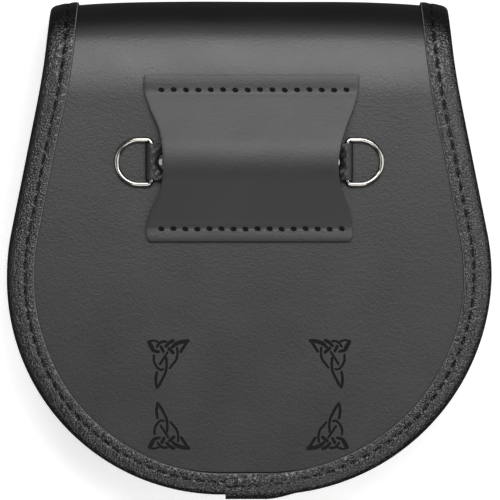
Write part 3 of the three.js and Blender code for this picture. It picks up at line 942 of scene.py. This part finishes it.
NEAR_EDGE = np.array([0, 0.25, 0.5, 0.8, 1.2, 1.7, 2.4])
SEAM_VALLEY = {"depth": 0.14, "reach": 2.2}
LOOP_THREAD = {"thick": 1.2, "shows": 2.9, "below": 0.45}
STRAND = {"thick": 0.4, "length": 1.5, "turn": 62, "apart": 0.7}

# Cut edge of cowhide, dyed with edge ink and burnished: black and closed, with next to no shine.
# It is made near black and widened by the bevel also as painted shade, for the dark gap along the
# loop's edge.
EDGE_INK_AND_SHADE = bare_fibre("inked_edge_and_painted_shade", 0.5, "060606", "0e0e0e", 0.75, 0.05, relief=0.4)
STRAP_HIDE = cowhide("worn_black_cowhide", 0.43)


def loop_profile():
    """Side view of the loop's underside: y, height and slope, in rows closer near its ends."""
    slope, ridge, fillet = LOOP_ARCH["slope"], LOOP_ARCH["ridge"], LOOP_ARCH["fillet"]
    middle = (LOOP_ARCH["from"] + LOOP_ARCH["to"]) / 2
    foot_y = LOOP_ARCH["from"] + fillet * math.sin(slope)
    foot_h = fillet * (1 - math.cos(slope))
    shoulder_y = middle - ridge * math.sin(slope)
    shoulder_h = foot_h + (shoulder_y - foot_y) * math.tan(slope)
    top = shoulder_h + ridge * (1 - math.cos(slope))
    first, last = LOOP_ROWS[0]["y"], LOOP_ROWS[-1]["y"]
    between = np.arange(first + 3, last - 2.9, 0.6)
    y = np.concatenate([first + NEAR_EDGE, between, last - NEAR_EDGE[::-1]])
    off = middle - abs(y - middle)
    in_fillet = np.clip(off - LOOP_ARCH["from"], 0, foot_y - LOOP_ARCH["from"])
    angle = np.arcsin(in_fillet / fillet)
    flank = np.clip(off - foot_y, 0, shoulder_y - foot_y)
    to_middle = np.clip(middle - off, 0, ridge * math.sin(slope))
    ridge_angle = np.arcsin(to_middle / ridge)
    on_ridge = off > shoulder_y
    from_foot = fillet * (1 - np.cos(angle)) + flank * math.tan(slope)
    height = np.where(on_ridge, top - ridge * (1 - np.cos(ridge_angle)), from_foot)
    tilt = np.where(on_ridge, ridge_angle, angle) * np.sign(middle - y)
    return y, height, tilt


def loop_reach(y, side):
    """How far the loop reaches to the left or right at each y."""
    stops = np.array([row["y"] for row in LOOP_ROWS])
    return smooth_line(stops, np.array([[row[side]] for row in LOOP_ROWS]), y)[:, 0]


def seam_dip(y):
    """How far a seam draws the loop's face down at y."""
    gap = np.min([abs(y - seam["y"]) for seam in LOOP_SEAMS], axis=0)
    return SEAM_VALLEY["depth"] * np.exp(-((gap / SEAM_VALLEY["reach"]) ** 2))


y, rise, tilt = loop_profile()
corner = np.zeros_like(y)
for radius, depth in ((LOOP_CORNERS["bottom"], y - y[0]), (LOOP_CORNERS["top"], y[-1] - y)):
    inside = np.clip(radius - depth, 0, radius)
    corner += radius - np.sqrt(radius**2 - inside**2)
left = -(loop_reach(y, "left") - corner)
right = loop_reach(y, "right") - corner
near_edge = NEAR_EDGE / LOOP_WIDTH
share = np.concatenate([near_edge, np.linspace(0.04, 0.96, 91), 1 - near_edge[::-1]])[:, None]
across = left[None, :] * (1 - share) + right[None, :] * share
sag = LOOP_SAG * np.cos(math.pi * (share - 0.5)) * np.clip(rise / rise.max(), 0, 1)[None, :]
wave = LOOP_WAVES[0] * np.sin(across / 9 + y[None, :] / 14)
wave = wave + LOOP_WAVES[1] * np.sin(across / 5.5 - y[None, :] / 8)
in_from_side = np.minimum(share, 1 - share) * (right - left)[None, :]
in_from_end = np.minimum(y - y[0], y[-1] - y)[None, :]
rim_fall = LOOP_RIM["fall"] * np.exp(-np.minimum(in_from_side, in_from_end) / LOOP_RIM["reach"])
thick = LOOP_LEATHER + GAP - seam_dip(y)[None, :] + sag + wave - rim_fall
top_y = np.broadcast_to((y - LOOP_LEATHER * np.sin(tilt))[None, :], across.shape)
top_h = rise[None, :] + thick - LOOP_LEATHER * (1 - np.cos(tilt))[None, :]
belt_loop = lay("belt_loop_strap", bend(across, top_y, top_h))
coat(belt_loop, STRAP_HIDE, BURNT_AND_SHADE_BLACK, EDGE_INK_AND_SHADE)
finish_with(
    belt_loop,
    "SOLIDIFY",
    thickness=(LOOP_LEATHER - 0.2) * MM,
    offset=-1,
    use_even_offset=True,
    material_offset_rim=2,
)
# The bevel takes the edge black too: inked edge and painted shade along the loop's rim.
finish_with(
    belt_loop,
    "BEVEL",
    width=LOOP_RIM["bevel"] * MM,
    segments=4,
    limit_method="ANGLE",
    angle_limit=1,
    material=2,
)


def loop_face(x, y_at):
    """A point on the loop's top face over its stitch rows, which lie on its flat ends."""
    return np.array([x, y_at, BACK_FACE + GAP + LOOP_LEATHER - SEAM_VALLEY["depth"]])


pick_nothing()
bpy.ops.mesh.primitive_cylinder_add(vertices=14, radius=0.5 * MM, depth=6 * MM)
punch = bpy.context.object
punch.data.transform(Matrix.Diagonal((HOLE["long"], HOLE["short"], 1, 1)))
hole_places, thread_places, strand_places = [], [], []
for seam in LOOP_SEAMS:
    stops = np.linspace(seam["from"], seam["to"], LOOP_HOLES)
    for k, x in enumerate(stops):
        turn = math.radians(HOLE["tilt"] + 7 * math.sin(2.4 * k))
        centre = Vector(loop_face(x, seam["y"] + 0.12 * math.sin(1.7 * k))) * MM
        lowered = Matrix.Translation(centre + Vector((0, 0, 2 * MM)))
        hole_places.append(lowered @ Matrix.Rotation(turn, 4, "Z"))
    for before, after in zip(stops, stops[1:]):
        start, stop = loop_face(before, seam["y"]), loop_face(after, seam["y"] - 0.25)
        middle = (start + stop) / 2
        if seam is LOOP_SEAMS[0]:
            lowered = middle - [0, LOOP_THREAD["below"], 0.1]
            thread_places.append(stitch_place(start, stop, (0, 0, 1), lowered))
            continue
        turn = math.radians(STRAND["turn"])
        way = np.array([math.cos(turn), math.sin(turn), 0])
        for side in (-0.5, 0.5):
            beside = middle + [side * STRAND["apart"], 0, 0]
            strand_places.append(stitch_place(beside, beside + way, (0, 0, 1), beside))
punches = copies_of(punch, hole_places)
coat(punches, STRAP_HIDE, BURNT_AND_SHADE_BLACK, EDGE_INK_AND_SHADE)
# Each punched hole is a shallow pit lined with the soot-black material: painted shade for the dark
# of a hole through the loop.
for face in punches.data.polygons:
    face.material_index = 1
cut_away(belt_loop, punches)
smooth(belt_loop, 35)
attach(belt_loop, "pouch")
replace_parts(belt_loop, "belt_loop")

# Thread of the belt loop
# A heavy grey-black linen thread, back stitched through punched holes. Along the lower seam it
# stands up between the holes in worn, fuzzy lumps. Along the upper one it has sunk into the
# leather, and only two strands of it show between two holes.
GREY_THREAD = waxed_thread("grey_linen_painted_twist_light", "2c2c2c", "7c7c7e", 9, 0.4)
for name, length, thick, places in (
    ("lower_loop_thread", LOOP_THREAD["shows"], LOOP_THREAD["thick"], thread_places),
    ("upper_loop_thread", STRAND["length"], STRAND["thick"], strand_places),
):
    loop_thread = copies_of(model_stitch(length, thick, thick / 2), places)
    loop_thread.name = loop_thread.data.name = name
    coat(loop_thread, GREY_THREAD)
    smooth(loop_thread, 80)
    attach(loop_thread, "pouch")

# Ring tabs
# A strip of soft calf, 15 mm wide and 1.2 mm thick, folded round each ring's bar and riveted
# through both plies. The rivet draws the upper ply down in a dimple, and between rivet and fold it
# puffs up at both sides and creases.
TAB_LEATHER = 1.2
TAB = {"width": 15, "tail": 16, "wrap": 112, "landing": -7.5, "puff": 0.5, "dimple": 2.2}
TAB_TOP_ROW = 34
TAB_TOP_EASE = 12
RING = {"x": 40.4, "y": 36.4, "wire": 1.1, "half": 9.2, "arm": 5.2, "corner": 1.9}
BAR_PLAY = 0.15
EYE = RING["wire"] + BAR_PLAY
FOLD = EYE + TAB_LEATHER
RIVET = {
    "from_bar": 6.3, "head": 3.7, "rolled": 0.2, "dome": 1.5, "shank": 1.2, "cap": 3,
    "cap_depth": 0.8,
}
TAB_PLY_GAP = 0.06


def tab_path():
    """Side view of the tab's outer face from the tail's end round the bar and back: x and h."""
    tail = TAB["tail"]
    run = [(-x, 0) for x in np.linspace(tail, 0, 17)[:-1]]
    for degrees in np.linspace(-90, TAB["wrap"], 34):
        angle = math.radians(degrees)
        run.append((FOLD * math.cos(angle), FOLD + FOLD * math.sin(angle)))
    top = 2 * TAB_LEATHER + TAB_PLY_GAP
    landing = np.array([TAB["landing"], top])
    start = np.array(run[-1])
    bend_at = start + [-3.2, -1.1]
    for t in np.linspace(0, 1, 25)[1:]:
        run.append(tuple(start * (1 - t) ** 2 + bend_at * 2 * t * (1 - t) + landing * t**2))
    run.extend((x, top) for x in np.linspace(landing[0], -tail, 34)[1:])
    return np.array(run)


def ring_tab(side, name, phase):
    """A tab with its creases, laid along the path and given its thickness."""
    path = tab_path()
    breadth = np.linspace(-0.5, 0.5, 61)[:, None]
    x, h = path[None, :, 0], path[None, :, 1]
    on_top = np.clip((np.arange(len(path)) - TAB_TOP_ROW) / TAB_TOP_EASE, 0, 1)[None, :]
    crease = np.sin(breadth * 17 + phase + 0.7 * x)
    crease = crease + 0.7 * np.sin(breadth * 29 - 1.7 * x + 2 * phase)
    lumps = 0.15 * crease * np.exp(-(((x + 2.6) / 2.8) ** 2))
    slack = np.clip((abs(breadth) - 0.18) / 0.24, 0, 1)
    puff = TAB["puff"] * slack * np.sin(math.pi * np.clip((0.3 - x) / 9, 0, 1))
    from_rivet = np.hypot(x + RIVET["from_bar"], breadth * TAB["width"])
    seat = 2 * TAB_LEATHER + TAB_PLY_GAP
    dimple = seat + TAB["dimple"] * np.clip(from_rivet - RIVET["head"] - 0.15, 0, None)
    upper = np.where(on_top > 0, np.minimum(h + on_top * (puff + lumps), dimple), h)
    upper = np.where(x > -0.5, h + on_top * lumps * 0.5, upper)
    sideways = breadth * TAB["width"] * (1 + 0.025 * np.sin(3 * x + phase))
    points = np.stack(np.broadcast_arrays(x, sideways, upper), axis=-1)
    if side < 0:
        points = points * [-1, -1, 1]
    points = points + [side * RING["x"], RING["y"], BACK_FACE + GAP]
    tab = lay(name, points)
    finish_with(tab, "SOLIDIFY", thickness=TAB_LEATHER * MM, offset=-1)
    close_seams(tab)
    finish_with(tab, "BEVEL", width=0.22 * MM, segments=2, limit_method="ANGLE", angle_limit=1.1)
    smooth(tab, 45)
    coat(tab, CALF)
    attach(tab, "pouch")
    return tab


for side, word in ((-1, "left"), (1, "right")):
    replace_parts(ring_tab(side, f"folded_tab_{word}", 1.1 + side), f"ring_tab_{word}")

# Tab rivets
# Nickel-plated tubular rivets: a pressed dome head on the tab, a shank through tab and back, and
# a flat cap inside the pouch. The dome is half of a flattened ball cut level, with a rolled rim.


def nickel():
    """Bright nickel plate on pressed brass: a warm grey metal polished almost to a mirror, with
    fine polishing lines that blur its reflections unevenly."""
    material, tree, shader = new_material("bright_nickel_plate")
    place = add_node(tree, "TexCoord").outputs["Object"]
    haze = add_node(
        tree, "TexNoise", {"Vector": place, "Scale": 1 / (1.5 * MM), "Detail": 5, "Roughness": 0.65}
    )
    drift = {"From Min": 0.3, "From Max": 0.7, "To Min": 0.08, "To Max": 0.15}
    blur = add_node(tree, "MapRange", {"Value": haze.outputs["Fac"], **drift})
    colour = add_node(
        tree,
        "ValToRGB",
        {"Fac": haze.outputs["Fac"]},
        stops=[(0.3, linear("b2aea8")), (0.7, linear("c8c5c0"))],
    )
    relief = add_node(
        tree, "Bump", {"Strength": 0.15, "Distance": 0.02 * MM, "Height": haze.outputs["Fac"]}
    )
    tree.links.new(colour.outputs["Color"], shader.inputs["Base Color"])
    tree.links.new(blur.outputs["Result"], shader.inputs["Roughness"])
    tree.links.new(relief.outputs["Normal"], shader.inputs["Normal"])
    shader.inputs["Metallic"].default_value = 1
    return material


NICKEL = nickel()


def turned(name, profile, x, y, sides=40):
    """A turned piece: a profile of radius and height, spun round an upright axis."""
    angle = np.linspace(0, 2 * math.pi, sides + 1)[:, None]
    radius, height = np.array(profile, float).T
    px, py = x + radius[None, :] * np.cos(angle), y + radius[None, :] * np.sin(angle)
    piece = lay(name, np.stack(np.broadcast_arrays(px, py, height[None, :]), axis=-1))
    close_seams(piece)
    smooth(piece, 40)
    return piece


def rivet_profile():
    """Radius and height from the cap's middle up the shank to the top of the dome."""
    seat = BACK_FACE + GAP + 2 * TAB_LEATHER + TAB_PLY_GAP + 0.12
    inside = BACK_FACE - PANEL_LEATHER - GAP
    rolled = RIVET["rolled"]
    profile = [
        (0, inside - RIVET["cap_depth"]),
        (RIVET["cap"] - 0.25, inside - RIVET["cap_depth"]),
        (RIVET["cap"], inside - RIVET["cap_depth"] + 0.25),
        (RIVET["cap"], inside),
        (RIVET["shank"], inside),
        (RIVET["shank"], seat),
        (RIVET["head"] - rolled, seat),
    ]
    for angle in np.radians(range(-60, 31, 10)):
        out, up = rolled * math.cos(angle), rolled * math.sin(angle)
        profile.append((RIVET["head"] - rolled + out, seat + rolled + up))
    for angle in np.radians(range(15, 91, 5)):
        out, up = RIVET["head"] * math.cos(angle), (RIVET["dome"] - rolled) * math.sin(angle)
        profile.append((out, seat + 0.3 + up))
    return profile


for side, word in ((-1, "left"), (1, "right")):
    rivet = turned(
        f"dome_rivet_{word}", rivet_profile(), side * (RING["x"] - RIVET["from_bar"]), RING["y"]
    )
    coat(rivet, NICKEL)
    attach(rivet, "pouch")
    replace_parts(rivet, f"rivet_{word}")

# D-rings
# Nickel-plated steel wire, 2.2 mm thick, bent to a D and butt welded in the middle of its bar,
# which lies in the tab. Each ring swings on its bar, and at rest its bow leans on the back.


def d_path():
    """The middle of the wire in the ring's own plane, with its outward direction: x, y, angle."""
    shoulder = RING["half"] - RING["corner"]
    corner = np.linspace(180, 90, 10)
    bow = np.linspace(90, -90, 73)
    rows = [
        (RING["corner"], shoulder, RING["corner"], corner),
        (RING["arm"], 0, RING["half"], bow),
        (RING["corner"], -shoulder, RING["corner"], -corner[::-1]),
    ]
    path = []
    for x, y, radius, degrees in rows:
        angle = np.radians(degrees)
        px, py = x + radius * np.cos(angle), y + radius * np.sin(angle)
        path.append(np.stack([px, py, angle], axis=1))
    bar = np.linspace(-shoulder, shoulder, 12)[1:-1]
    path.append(np.stack(np.broadcast_arrays(0, bar, math.pi), axis=1))
    path = np.concatenate(path)
    return np.concatenate([path, path[:1]])


def d_ring(side, name):
    """A ring swept round its path, leaned about its bar and set in its tab."""
    path = d_path()
    lean = math.asin((GAP + FOLD - RING["wire"] - 0.3) / (RING["arm"] + RING["half"]))
    around = np.linspace(0, 2 * math.pi, 21)[:, None]
    reach = RING["wire"] * np.cos(around)
    x = path[None, :, 0] + reach * np.cos(path[None, :, 2])
    y = path[None, :, 1] + reach * np.sin(path[None, :, 2])
    z = RING["wire"] * np.sin(around)
    forward, up = x * math.cos(lean) + z * math.sin(lean), z * math.cos(lean) - x * math.sin(lean)
    leaned = np.stack([forward, y, up], axis=-1)
    if side < 0:
        leaned = leaned * [-1, -1, 1]
    ring = lay(name, leaned + [side * RING["x"], RING["y"], BACK_FACE + GAP + FOLD])
    close_seams(ring)
    smooth(ring, 60)
    coat(ring, NICKEL)
    return ring


for side, word in ((-1, "left"), (1, "right")):
    ring = d_ring(side, f"wire_ring_{word}")
    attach(ring, f"{word}_ring")
    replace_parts(ring, f"d_ring_{word}")

# Clasp
# A plain pressed snap between flap and front panel, hidden in use. The solid has its shape
# already, so it only gets its metal.
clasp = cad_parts["flap_clasp"]
clasp.data.materials.clear()
coat(clasp, NICKEL)

# Table, light and camera
# The pouch lies on a pale matt table and is seen from straight above. Six softboxes light it: a
# narrow key over its top edge, a wide one further out, a weak one overhead, and one each beyond
# its foot, its left side and its right side.
FLOOR_SIZE = 6
FLOOR_HEIGHT = -0.15
CAMERA_HEIGHT = 4
PHOTO_WIDTH = 206.5
PHOTO_CENTRE = {"x": 0.3, "y": 0.0}
SENSOR = 36


def pale_table():
    """A white laminate table top: plain, matt, with a faint orange-peel."""
    material, tree, shader = new_material("white_table")
    place = add_node(tree, "TexCoord").outputs["Object"]
    peel = add_node(tree, "TexNoise", {"Vector": place, "Scale": 60, "Detail": 3})
    colour = add_node(
        tree,
        "ValToRGB",
        {"Fac": peel.outputs["Fac"]},
        stops=[(0.3, linear("f4f4f4")), (0.7, linear("f8f8f8"))],
    )
    shader.inputs["Emission Color"].default_value = linear("ffffff")
    shader.inputs["Emission Strength"].default_value = 0.5
    tree.links.new(colour.outputs["Color"], shader.inputs["Base Color"])
    shader.inputs["Roughness"].default_value = 0.8
    shader.inputs["Specular IOR Level"].default_value = 0.1
    return material


pick_nothing()
bpy.ops.mesh.primitive_plane_add(size=FLOOR_SIZE, location=(0, 0, FLOOR_HEIGHT * MM))
floor = bpy.context.object
floor.name = "table_top"
coat(floor, pale_table())
floor.visible_glossy = False

SOFTBOXES = [
    {"name": "key", "size": (1.0, 0.47), "lean": 19, "turn": 3, "distance": 1.5, "power": 10.8},
    {"name": "upper", "size": (1.2, 0.95), "lean": 45, "turn": 0, "distance": 1.6, "power": 2.7},
    {"name": "overhead", "size": (1.2, 1.1), "lean": -12, "turn": 6, "distance": 1.8, "power": 0.8},
    {"name": "front", "size": (1.3, 0.9), "lean": -44, "turn": 0, "distance": 1.6, "power": 7.5},
    {"name": "left", "size": (1.0, 1.6), "lean": 0, "turn": -52, "distance": 1.6, "power": 3},
    {"name": "right", "size": (1.0, 1.6), "lean": 0, "turn": 52, "distance": 1.6, "power": 8},
]
for box in SOFTBOXES:
    lean, turn = math.radians(box["lean"]), math.radians(box["turn"])
    way = Vector((math.sin(turn), math.sin(lean) * math.cos(turn), math.cos(lean) * math.cos(turn)))
    bpy.ops.object.light_add(type="AREA", location=way * box["distance"])
    lamp = bpy.context.object
    lamp.name = box["name"]
    lamp.data.shape = "RECTANGLE"
    lamp.data.size, lamp.data.size_y = box["size"]
    lamp.data.energy = box["power"]
    lamp.rotation_euler = way.to_track_quat("Z", "Y").to_euler()
    lamp.visible_camera = False

world = bpy.data.worlds.new("studio")
world.use_nodes = True
background = world.node_tree.nodes["Background"]
background.inputs["Color"].default_value = linear("ffffff")
background.inputs["Strength"].default_value = 0.08
bpy.context.scene.world = world

bpy.ops.object.camera_add(
    location=(PHOTO_CENTRE["x"] * MM, PHOTO_CENTRE["y"] * MM, CAMERA_HEIGHT + BACK_FACE * MM)
)
camera = bpy.context.object
camera.data.sensor_width = SENSOR
camera.data.lens = SENSOR * CAMERA_HEIGHT / (PHOTO_WIDTH * MM)
bpy.context.scene.camera = camera
bpy.context.scene.view_settings.view_transform = "Standard"
